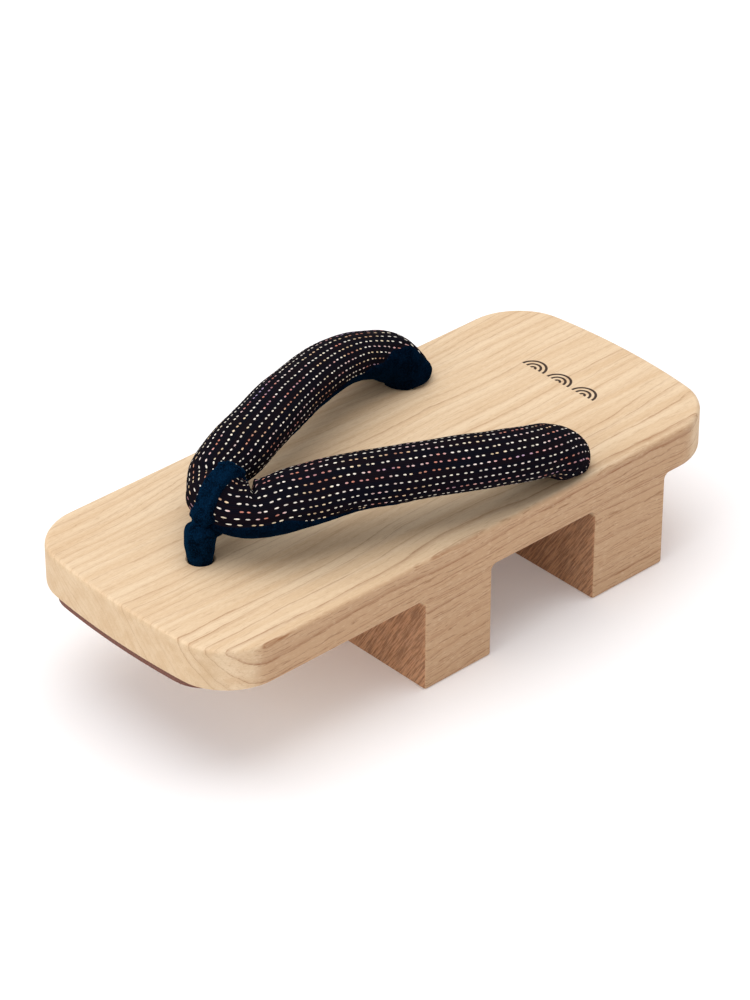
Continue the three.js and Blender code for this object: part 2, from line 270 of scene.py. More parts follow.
def sharp_edges(bm, lowest, highest):
    """The edges between two heights that turn more than 50 degrees."""
    bm.normal_update()
    return [
        e for e in bm.edges
        if len(e.link_faces) == 2
        and all(lowest <= v.co.z <= highest for v in e.verts)
        and e.calc_face_angle() > math.radians(50)
    ]


def grow(bm, faces, move):
    """Extrudes faces into a solid by a move."""
    grown = bmesh.ops.extrude_face_region(bm, geom=faces)["geom"]
    bmesh.ops.translate(bm, vec=move, verts=[g for g in grown if isinstance(g, bmesh.types.BMVert)])


def even_shading(piece, angle, weight):
    """Keeps edges that turn more than an angle sharp, and lets large faces set the shading between them."""
    piece.data.set_sharp_from_angle(angle=math.radians(angle))
    normals = piece.modifiers.new("even_shading", "WEIGHTED_NORMAL")
    normals.keep_sharp = True
    normals.weight = weight


def sagitta(x, radius):
    """How far an arc falls back at x from its middle."""
    return radius - math.sqrt(radius * radius - x * x)


def curve_point(points, place):
    """A place on the Catmull-Rom curve through points: 2.5 is halfway from the third to the fourth."""
    last = len(points) - 1
    i = min(int(place), last - 1)
    f = place - i
    a, b, c, d = (points[min(max(i + k, 0), last)] for k in (-1, 0, 1, 2))
    return [
        0.5 * (2 * q + (r - p) * f + (2 * p - 5 * q + 4 * r - s) * f * f
               + (3 * q - p - 3 * r + s) * f ** 3)
        for p, q, r, s in zip(a, b, c, d)
    ]


# ---------------------------------------------------------------- wooden base


def turn_outline(bm, outline, x, y):
    """Turns a side outline of radius and height round a vertical axis, and joins it at the axis."""
    verts = [bm.verts.new((x + r, y, z)) for r, z in outline]
    edges = [bm.edges.new(pair) for pair in zip(verts, verts[1:])]
    bmesh.ops.spin(
        bm, geom=verts + edges, cent=(x, y, 0), axis=(0, 0, 1), angle=2 * math.pi,
        steps=TURN_STEPS, use_merge=True,
    )
    bmesh.ops.remove_doubles(bm, verts=bm.verts, dist=0.001)


def hole_cutter(x, y, radius):
    """A round cutter through the deck, with a small countersink at each face."""
    bm = bmesh.new()
    wide = radius + HOLE_FLARE
    low, high = DECK_BOTTOM - CUTTER_OVERSHOOT, DECK_TOP + CUTTER_OVERSHOOT
    turn_outline(bm, (
        (0, low), (wide, low), (wide, DECK_BOTTOM), (radius, DECK_BOTTOM + HOLE_FLARE),
        (radius, DECK_TOP - HOLE_FLARE), (wide, DECK_TOP), (wide, high), (0, high),
    ), x, y)
    face_outwards(bm)
    return mesh_object("cutter", bm)


def make_base(material):
    """The deck and its two teeth, drawn in side view and cut right across."""
    bm = bmesh.new()
    outline = [(-DECK_HALF_LENGTH, DECK_BOTTOM), (-DECK_HALF_LENGTH, DECK_TOP),
               (DECK_HALF_LENGTH, DECK_TOP), (DECK_HALF_LENGTH, DECK_BOTTOM)]
    for front, back in (REAR_TOOTH, FRONT_TOOTH):
        outline += [(back, DECK_BOTTOM), (back, 0.0), (front, 0.0), (front, DECK_BOTTOM)]
    side = bm.faces.new([bm.verts.new((-DECK_HALF_WIDTH, y, z)) for y, z in outline])
    grow(bm, [side], (2 * DECK_HALF_WIDTH, 0, 0))
    face_outwards(bm)

    corners = [
        e for e in bm.edges
        if all(abs(v.co.y) > DECK_HALF_LENGTH - 1 for v in e.verts)
        and abs(e.verts[0].co.z - e.verts[1].co.z) > 1
    ]
    bevel(bm, corners, CORNER_RADIUS, 14)
    ends = [
        e for e in bm.edges
        if all(abs(v.co.y) > DECK_HALF_LENGTH - 0.1 for v in e.verts)
        and abs(e.verts[0].co.x - e.verts[1].co.x) > 10
    ]
    bmesh.ops.subdivide_edges(bm, edges=ends, cuts=22, use_grid_fill=True)
    for v in bm.verts:
        if abs(v.co.y) > DECK_HALF_LENGTH - CORNER_RADIUS - 0.1:
            radius = HEEL_CURVE_RADIUS if v.co.y > 0 else TOE_CURVE_RADIUS
            v.co.y -= math.copysign(sagitta(v.co.x, radius), v.co.y)

    bm.normal_update()
    roots = [
        e for e in bm.edges
        if all(abs(v.co.z - DECK_BOTTOM) < 0.01 and abs(v.co.y) < REAR_TOOTH[1] + 4 for v in e.verts)
        and abs(e.verts[0].co.x - e.verts[1].co.x) > 10
    ]
    bevel(bm, roots, ROOT_FILLET, 5)
    bevel(bm, sharp_edges(bm, -1, DECK_TOP - 5), EDGE_ROUNDING, 4)
    bevel(bm, sharp_edges(bm, DECK_TOP - 0.1, DECK_TOP + 0.1), TOP_EDGE_ROUNDING, 6)
    cuts = [("BOOLEAN", {"operation": "DIFFERENCE", "solver": "EXACT", "object": hole_cutter(*hole)})
            for hole in (TOE_HOLE, *HEEL_HOLES)]
    bm = apply_modifiers(bm, *cuts)
    even_shading(finish_piece("wood_block", bm, material, "pale_wood", "wood_base"), 42, 100)


def make_toe_pad(material):
    """A thin pad that follows the deck's toe."""
    bm = bmesh.new()
    toe = -DECK_HALF_LENGTH + PAD_SETBACK
    bottom = DECK_BOTTOM - PAD_THICKNESS
    bmesh.ops.create_grid(bm, x_segments=1, y_segments=1, size=0.5)
    for v in bm.verts:
        v.co = (v.co.x * 2 * PAD_HALF_WIDTH, toe + PAD_REACH / 2 + v.co.y * PAD_REACH, bottom)
    bevel(bm, [v for v in bm.verts if v.co.y < toe + 1], PAD_CORNER_RADIUS, 10, "VERTICES")
    long_edges = [e for e in bm.edges if e.calc_length() > 50]
    bmesh.ops.subdivide_edges(bm, edges=long_edges, cuts=20)
    for v in bm.verts:
        if v.co.y < toe + PAD_REACH / 2:
            v.co.y += sagitta(v.co.x, TOE_CURVE_RADIUS)
    grow(bm, list(bm.faces), (0, 0, PAD_THICKNESS))
    face_outwards(bm)
    bevel(bm, sharp_edges(bm, bottom - 1, DECK_BOTTOM + 1), PAD_EDGE_ROUNDING, 3)
    even_shading(finish_piece("toe_pad_rubber", bm, material, "pad_rubber", "toe_pad"), 50, 50)


# --------------------------------------------------------------- padded strap


class StrapLine:
    """The strap's centre line, from heel to heel, with its section at each point."""

    def __init__(self):
        middle, half = STRAP_STATIONS[0], STRAP_STATIONS[1:]
        mirrored = [(-s[0], *s[1:]) for s in reversed(half)]
        stations = [*mirrored, middle, *half]
        steps, last = 1200, len(stations) - 1
        self.samples = [curve_point(stations, i / steps * last) for i in range(steps + 1)]
        self.lengths = [0.0]
        for a, b in zip(self.samples, self.samples[1:]):
            self.lengths.append(self.lengths[-1] + (Vector(b[:3]) - Vector(a[:3])).length)
        self.half_length = self.lengths[-1] / 2

    def at(self, along):
        """Centre, across, normal, half width and half thickness at a signed length from the middle."""
        target = min(max(along + self.half_length, 0.0), self.lengths[-1])
        low, high = 0, len(self.lengths) - 1
        while high - low > 1:
            mid = (low + high) // 2
            if self.lengths[mid] <= target:
                low = mid
            else:
                high = mid
        f = (target - self.lengths[low]) / max(self.lengths[high] - self.lengths[low], 1e-9)
        here = [p + (q - p) * f for p, q in zip(self.samples[low], self.samples[high])]
        before = self.samples[max(low - 6, 0)]
        after = self.samples[min(high + 6, len(self.samples) - 1)]
        tangent = (Vector(after[:3]) - Vector(before[:3])).normalized()
        up = (Vector((0, 0, 1)) - tangent * tangent.z).normalized()
        outward = tangent.cross(up)
        lean = math.radians(here[5])
        normal = up * math.cos(lean) + outward * math.sin(lean)
        return Vector(here[:3]), normal.cross(tangent), normal, here[3], here[4]


def lining_edges(along, half_length):
    """The angles of the lining's outer and inner edge."""
    left, right, inner = look_up(LINING_EDGES, abs(along) / half_length)
    middle = ease(0.5 + along / 8)
    return right + (left - right) * middle, inner


def strap_relief(along, angle, place, half_length):
    """How far the cloth stands out from the strap's smooth form, in mm."""
    # the stuffing's unevenness, and the two seams with their small gathers
    relief = -0.25 + 0.32 * noise.noise(place * 0.075)
    relief += 0.10 * noise.noise(place * 0.21 + Vector((7, 3, 1)))
    for edge in lining_edges(along, half_length):
        gap = degrees_from(angle, edge)
        relief -= 0.55 * bump_at(gap, 0, 5.0)
        relief += 0.10 * bump_at(gap, 0, 12.0) * math.sin(along / 0.75 + 2 * noise.noise(place * 0.3))
    # the crotch: the cloth folds where the strap turns back beside the toe loop
    turned = degrees_from(angle, 0)
    side = 1 if along > 0 else -1
    inner_side = bump_at(turned, 18, 62)
    wander = 0.8 * noise.noise(Vector((turned * 0.03, side * 5.0, 0.4)))
    fold = abs(along) - 12.6 - 0.02 * turned - wander
    relief -= 3.2 * inner_side * bump_at(fold, 0, 1.4)
    relief += 0.75 * inner_side * (bump_at(fold, 2.6, 1.5) + bump_at(fold, -2.4, 1.3))
    second = abs(along) - 16.2 - 0.03 * turned + wander
    relief -= 0.45 * bump_at(turned, 35, 40) * bump_at(second, 0, 0.9)
    # the strap fills out against the band of the toe loop
    relief += 0.4 * bump_at(abs(along), 9.0, 2.2) * bump_at(turned, 150, 90)
    # the lining hangs a little below the cloth beside the toe loop
    relief += 1.2 * bump_at(degrees_from(angle, 196), 0, 34) * bump_at(abs(along) / half_length, 0.17, 0.12)
    # puckers where the heel end turns down to the deck
    tail = half_length - abs(along)
    low_side = bump_at(degrees_from(angle, 222), 0, 55)
    reach = ease((26 - tail) / 10)
    wave = math.sin(abs(along) * 2.5 + 1.6 * noise.noise(place * 0.16) + 0.02 * angle)
    relief += low_side * reach * (0.42 * wave + 2.8 * bump_at(tail, 21, 9))
    return relief


def strap_point(line, along, angle, lift=0.0):
    """A point of the strap's surface: angle goes from the inner edge over the top, in degrees."""
    centre, across, normal, half_width, half_thickness = line.at(along)
    theta = math.radians(angle)
    c, s = math.cos(theta), math.sin(theta)
    power = 2 / PLUMPNESS
    flat = Vector((
        math.copysign(abs(c) ** power, c) * half_width,
        math.copysign(abs(s) ** power, s) * half_thickness, 0,
    ))
    place = centre + across * flat.x + normal * flat.y
    out = (across * (flat.x / half_width ** 2) + normal * (flat.y / half_thickness ** 2)).normalized()
    place += out * (strap_relief(along, angle, place, line.half_length) + lift)
    # the heel end is tucked in, and what would sink into the deck settles on it
    tuck = ease((line.half_length - abs(along)) / 2.5)
    if tuck < 1:
        place = centre + (place - centre) * (0.55 + 0.45 * tuck)
    rest = STRAP_REST - lift
    if place.z < rest + SETTLING:
        place.z = rest + SETTLING * math.exp((place.z - rest - SETTLING) / SETTLING)
    return place


def make_strap(line, material):
    """The strap's cloth: a flat cut of cloth, wrapped round the padding and closed under the lining."""
    bm = bmesh.new()
    bmesh.ops.create_grid(bm, x_segments=CLOTH_COLUMNS, y_segments=CLOTH_ROWS, size=0.5)
    flat = bm.loops.layers.uv.new("cloth")
    for face in bm.faces:
        for loop in face.loops:
            along = loop.vert.co.x * 2 * line.half_length
            angle = 90 + loop.vert.co.y * 360
            twist = look_up(CLOTH_TWIST, abs(along) / line.half_length)[0]
            side = 1 if along >= 0 else -1
            loop[flat].uv = (along * MM, (angle - 90 - twist) / 360 * STRAP_GIRTH * side * MM)
    for v in bm.verts:
        v.co = strap_point(line, v.co.x * 2 * line.half_length, 90 + v.co.y * 360)
    # the wrapped sheet's long edges are joined, and its two ends closed
    bmesh.ops.remove_doubles(bm, verts=bm.verts, dist=0.02)
    bmesh.ops.holes_fill(bm, edges=[e for e in bm.edges if e.is_boundary], sides=0)
    face_outwards(bm)
    return finish_piece("strap_cloth", bm, material, "striped_cloth", "strap")


def make_lining(line, material, cloth):
    """The velvet lining under the strap: a flat strip, wrapped on and tucked into the seam at each edge."""
    bm = bmesh.new()
    bmesh.ops.create_grid(bm, x_segments=LINING_COLUMNS, y_segments=LINING_ROWS, size=0.5)
    grow(bm, list(bm.faces), (0, 0, -1))
    reach = line.half_length - LINING_END_GAP
    for v in bm.verts:
        along, share = v.co.x * 2 * reach, v.co.y + 0.5
        outer, inner = lining_edges(along, line.half_length)
        edge = min(share, 1 - share, (1 - abs(2 * v.co.x)) * 8)
        lift = LINING_EDGE + (LINING_FACE - LINING_EDGE) * ease(edge * 12)
        if v.co.z < -0.5:
            lift = LINING_BACK
        v.co = strap_point(line, along, outer + (inner - outer) * share, lift)
    face_outwards(bm)
    lining = finish_piece("strap_lining", bm, material, "blue_velvet")
    lining.parent = cloth


# ------------------------------------------------------------------- toe loop


def loop_point(x, flat):
    """A point x to the side of the loop's middle; flat is its place in the band's oval section."""
    across = Vector((0, math.cos(LOOP_LEAN), math.sin(LOOP_LEAN)))
    normal = Vector((0, -math.sin(LOOP_LEAN), math.cos(LOOP_LEAN)))
    return LOOP_CENTRE + Vector((x, 0, 0)) + across * flat[0] + normal * flat[1]


def add_band(bm):
    """The band round the strap's middle, wide over the strap and gathered low in front of it."""
    made = bmesh.ops.create_grid(bm, x_segments=24, y_segments=96, size=0.5)["verts"]
    for v in made:
        x, turn = v.co.x, v.co.y * 2 * math.pi
        gather = bump_at(degrees_from(math.degrees(turn), GATHER_TURN), 0, GATHER_SPREAD)
        half_width = BAND_HALF_WIDTH - 3.4 * gather
        thickness = 0.1 + 2.1 * (1 - abs(2 * x) ** 4) + 0.3 * gather
        wide, thick = (inside + thickness for inside in BAND_INSIDE)
        v.co = loop_point(x * 2 * half_width, (wide * math.cos(turn), thick * math.sin(turn)))
    bmesh.ops.remove_doubles(bm, verts=made, dist=0.01)


def add_band_core(bm):
    """A plug inside the band, so that the remeshed band is one skin with the post."""
    made = bmesh.ops.create_cone(bm, cap_ends=True, segments=64, radius1=1, radius2=1, depth=8)["verts"]
    for v in made:
        v.co = loop_point(v.co.z, (BAND_CORE[0] * v.co.x, BAND_CORE[1] * v.co.y))


def add_throat(bm):
    """Where the band gathers into the post."""
    made = bmesh.ops.create_uvsphere(bm, u_segments=32, v_segments=16, radius=1)["verts"]
    bmesh.ops.scale(bm, vec=(5.2, 4.2, 4.0), verts=made)
    bmesh.ops.rotate(bm, matrix=Matrix.Rotation(math.radians(25), 3, "X"), verts=made)
    bmesh.ops.translate(bm, vec=(0, POST_Y + 2.2, 72.2), verts=made)


def velvet_relief(place):
    """How far the toe loop stands out from its smooth form: stuffing, folds, and the pinch at its neck."""
    swirl = noise.noise(place * 0.17)
    turn = math.atan2(place.y - POST_Y, place.x)
    on_post = ease((70.5 - place.z) / 3)
    neck = POST_NECK_Z + 0.5 * math.sin(2 * turn + 0.6)
    relief = 0.22 * noise.noise(place * 0.35 + Vector((3, 9, 4))) + 0.3 * swirl
    relief += on_post * 0.24 * math.sin(5 * turn + 2.5 * swirl + place.z * 0.12)
    relief -= 0.75 * bump_at(place.y, POST_Y - 1, 5) * bump_at(place.z, neck, 0.9)
    relief += (1 - on_post) * 0.2 * math.sin(place.x * 1.5 + 2.5 * swirl + place.z * 0.2)
    return relief


def make_toe_loop(material):
    """The velvet band and its stuffed post, melted into one skin, smoothed and creased."""
    bm = bmesh.new()
    add_band(bm)
    add_band_core(bm)
    add_throat(bm)
    turn_outline(bm, POST_OUTLINE, 0, POST_Y)
    face_outwards(bm)
    bm = apply_modifiers(bm, ("REMESH", {"mode": "VOXEL", "voxel_size": VOXEL}))
    for _ in range(SMOOTHING_PASSES):
        bmesh.ops.smooth_vert(
            bm, verts=bm.verts, factor=0.5, use_axis_x=True, use_axis_y=True, use_axis_z=True,
        )
    bm.normal_update()
    moves = [v.normal * velvet_relief(v.co) for v in bm.verts]
    for v, move in zip(bm.verts, moves):
        v.co += move
    return finish_piece("toe_loop_velvet", bm, material, "blue_velvet", "toe_loop")


# ---------------------------------------------------------- cords under the deck


def smooth_path(points):
    """A smooth line through points, as evenly spaced places."""
    dense = []
    for i, (a, b) in enumerate(zip(points, points[1:])):
        steps = max(2, int((Vector(b) - Vector(a)).length / 0.2))
        dense += [Vector(curve_point(points, i + k / steps)) for k in range(steps)]
    dense.append(Vector(points[-1]))
    path, run = [dense[0]], 0.0
    for a, b in zip(dense, dense[1:]):
        run += (b - a).length
        if run >= ROPE_SPACING:
            path.append(b)
            run = 0.0
    return path


def frames_along(path, side):
    """Each place on a path with two directions square to it, which turn as little as they can."""
    for i, place in enumerate(path):
        tangent = (path[min(i + 1, len(path) - 1)] - path[max(i - 1, 0)]).normalized()
        side = (side - tangent * side.dot(tangent)).normalized()
        yield place, side, tangent.cross(side)


def add_rope(bm, points, radius, pitch):
    """A cord of twisted strands along points."""
    path = smooth_path(points)
    strand_radius = radius * 0.54
    orbit = radius - strand_radius
    turns = [0.0]
    for a, b in zip(path, path[1:]):
        turns.append(turns[-1] + (b - a).length / pitch * 2 * math.pi)
    for k in range(STRANDS):
        start = k * 2 * math.pi / STRANDS
        centres = [
            p + (a * math.cos(turn + start) + b * math.sin(turn + start)) * orbit
            for (p, a, b), turn in zip(frames_along(path, Vector((0.31, 0.52, 0.8))), turns)
        ]
        add_tube(bm, centres, strand_radius, 10)


def add_tube(bm, centres, radius, around):
    """A closed tube, made by pushing a ring from each centre to the next."""
    loop = list(bmesh.ops.create_circle(bm, cap_ends=True, segments=around, radius=radius)["verts"])
    for i, (centre, side, other) in enumerate(frames_along(centres, Vector((0.2, 0.4, 0.9)))):
        if i:
            pairs = list(zip(loop, loop[1:] + loop[:1]))
            ring = [next(e for e in v.link_edges if e.other_vert(v) is w) for v, w in pairs]
            grown = bmesh.ops.extrude_edge_only(bm, edges=ring)["geom"]
            fresh = {g for g in grown if isinstance(g, bmesh.types.BMVert)}
            loop = [next(e.other_vert(v) for e in v.link_edges if e.other_vert(v) in fresh) for v in loop]
        for j, v in enumerate(loop):
            turn = j / around * 2 * math.pi
            v.co = centre + (side * math.cos(turn) + other * math.sin(turn)) * radius
    bm.faces.new(loop)


def make_toe_knot(material):
    """The toe loop's cord comes through the deck and is knotted under it, in an open trefoil."""
    bm = bmesh.new()
    knot = []
    for i in range(KNOT_POINTS):
        t = KNOT_OPENING + i / (KNOT_POINTS - 1) * (2 * math.pi - 2 * KNOT_OPENING)
        knot.append((
            (math.sin(t) + 2 * math.sin(2 * t)) * KNOT_SIZE,
            POST_Y + (math.cos(t) - 2 * math.cos(2 * t)) * KNOT_SIZE,
            KNOT_Z - math.sin(3 * t) * KNOT_DEPTH,
        ))
    down = [(0.4, POST_Y, 48.6), (0.6, POST_Y, 43.0), (1.2, POST_Y - 0.4, 38.6)]
    add_rope(bm, down + knot, **TOE_CORD)
    face_outwards(bm)
    finish_piece("toe_knot_cord", bm, material, "cotton_cord", "toe_knot")


def make_heel_cord(material):
    """The strap's two cords come through the heel holes and are tied in the middle."""
    bm = bmesh.new()
    for side in (1, -1):
        route = [(x * side, HEEL_HOLES[0][1] + y * side, z) for x, y, z in HEEL_CORD_ROUTE]
        add_rope(bm, route, **HEEL_CORD)
    face_outwards(bm)
    finish_piece("heel_cord_rope", bm, material, "cotton_cord", "heel_cord")


# ------------------------------------------------------------------ materials


class Nodes:
    """Short ways to add and join shader nodes."""

    def __init__(self, tree):
        self.tree = tree

    def add(self, kind, settings=None, **inputs):
        node = self.tree.nodes.new(kind)
        for key, value in (settings or {}).items():
            setattr(node, key, value)
        for key, value in inputs.items():
            self.plug(node, key.replace("_", " "), value)
        return node

    def plug(self, node, name, value):
        self.plug_socket(node.inputs[name], value)

    def plug_all(self, node, values):
        for name, value in values.items():
            self.plug(node, name, value)

    def plug_socket(self, socket, value):
        if isinstance(value, bpy.types.NodeSocket):
            self.tree.links.new(value, socket)
        else:
            socket.default_value = value

    def math(self, operation, a, b=None, clamp=False):
        node = self.tree.nodes.new("ShaderNodeMath")
        node.operation = operation
        node.use_clamp = clamp
        for i, value in enumerate((a, b)):
            if value is not None:
                self.plug(node, i, value)
        return node.outputs[0]

    def step(self, value, low, high, to_low=0.0, to_high=1.0):
        """A smooth change from to_low at low, to to_high at high."""
        node = self.add("ShaderNodeMapRange", {"interpolation_type": "SMOOTHSTEP"})
        self.plug_all(node, {"Value": value, "From Min": low, "From Max": high,
                             "To Min": to_low, "To Max": to_high})
        return node.outputs["Result"]

    def mix(self, factor, a, b):
        """Mixes two colours."""
        node = self.add("ShaderNodeMix", {"data_type": "RGBA"})
        for name, v in (("Factor_Float", factor), ("A_Color", a), ("B_Color", b)):
            self.plug_socket(next(s for s in node.inputs if s.identifier == name), v)
        return next(s for s in node.outputs if s.identifier == "Result_Color")

    def noise(self, vector, scale, detail, roughness=0.5, dimensions="3D"):
        node = self.add("ShaderNodeTexNoise", {"noise_dimensions": dimensions},
                        Scale=scale, Detail=detail, Roughness=roughness)
        self.plug(node, "W" if dimensions == "1D" else "Vector", vector)
        return node.outputs[0]

    def stretched(self, vector, scale):
        """The coordinates, stretched by one factor on each axis."""
        node = self.add("ShaderNodeVectorMath", {"operation": "MULTIPLY"})
        self.plug(node, 0, vector)
        self.plug(node, 1, scale)
        return node.outputs[0]

    def split(self, vector):
        node = self.add("ShaderNodeSeparateXYZ")
        self.plug(node, "Vector", vector)
        return node.outputs

    def join(self, x, y):
        node = self.add("ShaderNodeCombineXYZ")
        self.plug_all(node, {"X": x, "Y": y})
        return node.outputs[0]

    def white(self, x, y):
        """A random number for each pair of whole numbers."""
        node = self.add("ShaderNodeTexWhiteNoise", {"noise_dimensions": "2D"})
        self.plug(node, "Vector", self.join(x, y))
        return node.outputs["Value"]


def new_group(name, inputs, outputs):
    """An empty shader group with named sockets, and its nodes."""
    group = bpy.data.node_groups.new(name, "ShaderNodeTree")
    for label, kind, default in inputs:
        socket = group.interface.new_socket(label, in_out="INPUT", socket_type=kind)
        if default is not None:
            socket.default_value = default
    for label, kind in outputs:
        group.interface.new_socket(label, in_out="OUTPUT", socket_type=kind)
    n = Nodes(group)
    return group, n, n.add("NodeGroupInput").outputs, n.add("NodeGroupOutput")


FLOAT, VECTOR = "NodeSocketFloat", "NodeSocketVector"


def growth_rings_group():
    """Growth rings of a tree whose heart runs along Y: a thin dark line at each year's end."""
    group, n, given, out = new_group(
        "growth rings",
        [("Vector", VECTOR, None), ("Waver", FLOAT, 1.2)],
        [("Line", FLOAT), ("Thin Line", FLOAT), ("Year", FLOAT), ("Pores", FLOAT), ("Tone", FLOAT)],
    )
    mm = n.stretched(given["Vector"], TO_MM)
    x, _, z = n.split(mm)
    slow = n.noise(n.stretched(mm, (0.012, 0.0045, 0.012)), 1.0, 2.0)
    quick = n.noise(n.stretched(mm, (0.05, 0.016, 0.05)), 1.0, 3.0, 0.55)
    fine = n.noise(n.stretched(mm, (0.5, 0.11, 0.5)), 1.0, 3.0)
    bend = n.math("ADD", n.math("MULTIPLY", n.math("SUBTRACT", slow, 0.5), 16.0),
                  n.math("MULTIPLY", n.math("SUBTRACT", quick, 0.5), 3.2))
    bend = n.math("ADD", bend, n.math("MULTIPLY", n.math("SUBTRACT", fine, 0.5), 0.7))
    bend = n.math("MULTIPLY", bend, given["Waver"])
    dx, dz = (n.math("SUBTRACT", place, heart) for place, heart in zip((x, z), TREE_HEART))
    distance = n.math("SQRT", n.math("ADD", n.math("MULTIPLY", dx, dx), n.math("MULTIPLY", dz, dz)))
    depth = n.math("ADD", n.math("SUBTRACT", distance, FIRST_RING_RADIUS), bend)
    phase = n.math("SUBTRACT", n.math("MULTIPLY", depth, RINGS_PER_MM),
                   n.math("MULTIPLY", n.math("MULTIPLY", depth, depth), 0.0028))
    uneven = n.noise(n.math("MULTIPLY", depth, 0.16), 1.0, 1.0, 0.5, "1D")
    phase = n.math("ADD", phase, n.math("MULTIPLY", uneven, 1.5))
    year = n.math("FLOOR", phase)
    part = n.math("FRACT", phase)
    fading = n.math("POWER", n.math("SUBTRACT", 1.0, part), 9.0)
    edge = n.math("MAXIMUM", fading, n.step(part, 0.96, 1.0))
    strength = n.math("ADD", 0.22, n.math("MULTIPLY", n.math("POWER", n.white(year, 3.0), 1.6), 0.78))
    patchy = n.step(n.noise(n.stretched(mm, (0.06, 0.012, 0.06)), 1.0, 2.0), 0.30, 0.62, 0.45, 1.0)
    grainy = n.step(n.noise(n.stretched(mm, (1.5, 0.10, 1.5)), 1.0, 2.0), 0.26, 0.62, 0.5, 1.0)
    line = n.math("MULTIPLY", n.math("MULTIPLY", edge, strength), n.math("MULTIPLY", patchy, grainy))
    streak = n.noise(n.stretched(mm, (2.6, 0.12, 2.6)), 1.0, 1.0)
    pores = n.step(streak, 0.62, 0.74)
    tone = n.noise(n.stretched(mm, (0.22, 0.010, 0.22)), 1.0, 2.0, 0.6)
    thin = n.math("FRACT", n.math("ADD", n.math("MULTIPLY", phase, 3.37), n.math("MULTIPLY", fine, 0.8)))
    thin = n.step(n.math("ABSOLUTE", n.math("SUBTRACT", thin, 0.5)), 0.0, 0.16, 1.0, 0.0)
    thin = n.math("MULTIPLY", thin, n.step(streak, 0.40, 0.62))
    n.plug_all(out, {"Line": line, "Thin Line": thin, "Year": part, "Pores": pores, "Tone": tone})
    return group


def thread_dashes_group():
    """Rows of small thread dashes on cloth. The vector is metres along and across the cloth."""
    group, n, given, out = new_group(
        "thread dashes",
        [("Vector", VECTOR, None), ("Row Spacing", FLOAT, 2.9), ("Pair Pitch", FLOAT, 5.2)],
        [("Dash", FLOAT), ("Row", FLOAT), ("Number", FLOAT), ("Shade", FLOAT)],
    )
    mm = n.stretched(given["Vector"], TO_MM)
    along, across, _ = n.split(mm)
    wander = n.noise(n.stretched(mm, (0.11, 0.11, 0)), 1.0, 2.0)
    wander = n.math("MULTIPLY", n.math("SUBTRACT", wander, 0.5), 0.7)
    rows = n.math("DIVIDE", n.math("ADD", across, wander), given["Row Spacing"])
    row = n.math("FLOOR", rows)
    off_row = n.math("MULTIPLY", n.math("SUBTRACT", n.math("FRACT", rows), 0.5), given["Row Spacing"])
    pairs = n.math("ADD", n.math("DIVIDE", along, given["Pair Pitch"]), n.white(row, 11.0))
    # the gaps along a row are wide and narrow in turn, so that the dashes stand in pairs
    doubled = n.math("ADD", n.math("MULTIPLY", pairs, 2.0),
                     n.math("MULTIPLY", n.math("SINE", n.math("MULTIPLY", pairs, 2 * math.pi)), 0.10))
    number = n.math("FLOOR", doubled)
    jitter = n.math("MULTIPLY", n.math("SUBTRACT", n.white(row, number), 0.5), 0.22)
    off_dash = n.math("MULTIPLY", n.math("ADD", n.math("SUBTRACT", n.math("FRACT", doubled), 0.5), jitter),
                      n.math("DIVIDE", given["Pair Pitch"], 2.0))
    a = n.math("DIVIDE", off_dash, DASH_HALF_SIZE[0])
    b = n.math("DIVIDE", off_row, DASH_HALF_SIZE[1])
    size = n.math("ADD", n.math("MULTIPLY", a, a), n.math("MULTIPLY", b, b))
    dash = n.step(size, 0.7, 1.2, 1.0, 0.0)
    shade = n.noise(n.join(n.math("MULTIPLY", along, 0.045), n.math("MULTIPLY", row, 7.31)), 1.0, 1.0)
    n.plug_all(out, {"Dash": dash, "Row": row, "Number": number, "Shade": shade})
    return group


def pile_group():
    """The short pile of velvet: fine tufts, and soft patches where it lies another way."""
    group, n, given, out = new_group(
        "velvet pile", [("Vector", VECTOR, None)], [("Tuft", FLOAT), ("Lay", FLOAT)],
    )
    mm = n.stretched(given["Vector"], TO_MM)
    n.plug_all(out, {"Tuft": n.noise(mm, 2.6, 2.0, 0.6), "Lay": n.noise(mm, 0.22, 3.0, 0.6)})
    return group


def material_start(name):
    material = bpy.data.materials.new(name)
    material.use_nodes = True
    n = Nodes(material.node_tree)
    shader = material.node_tree.nodes["Principled BSDF"]
    return material, n, shader


def use_group(n, group, **inputs):
    node = n.tree.nodes.new("ShaderNodeGroup")
    node.node_tree = group
    for key, value in inputs.items():
        n.plug(node, key.replace("_", " "), value)
    return node.outputs


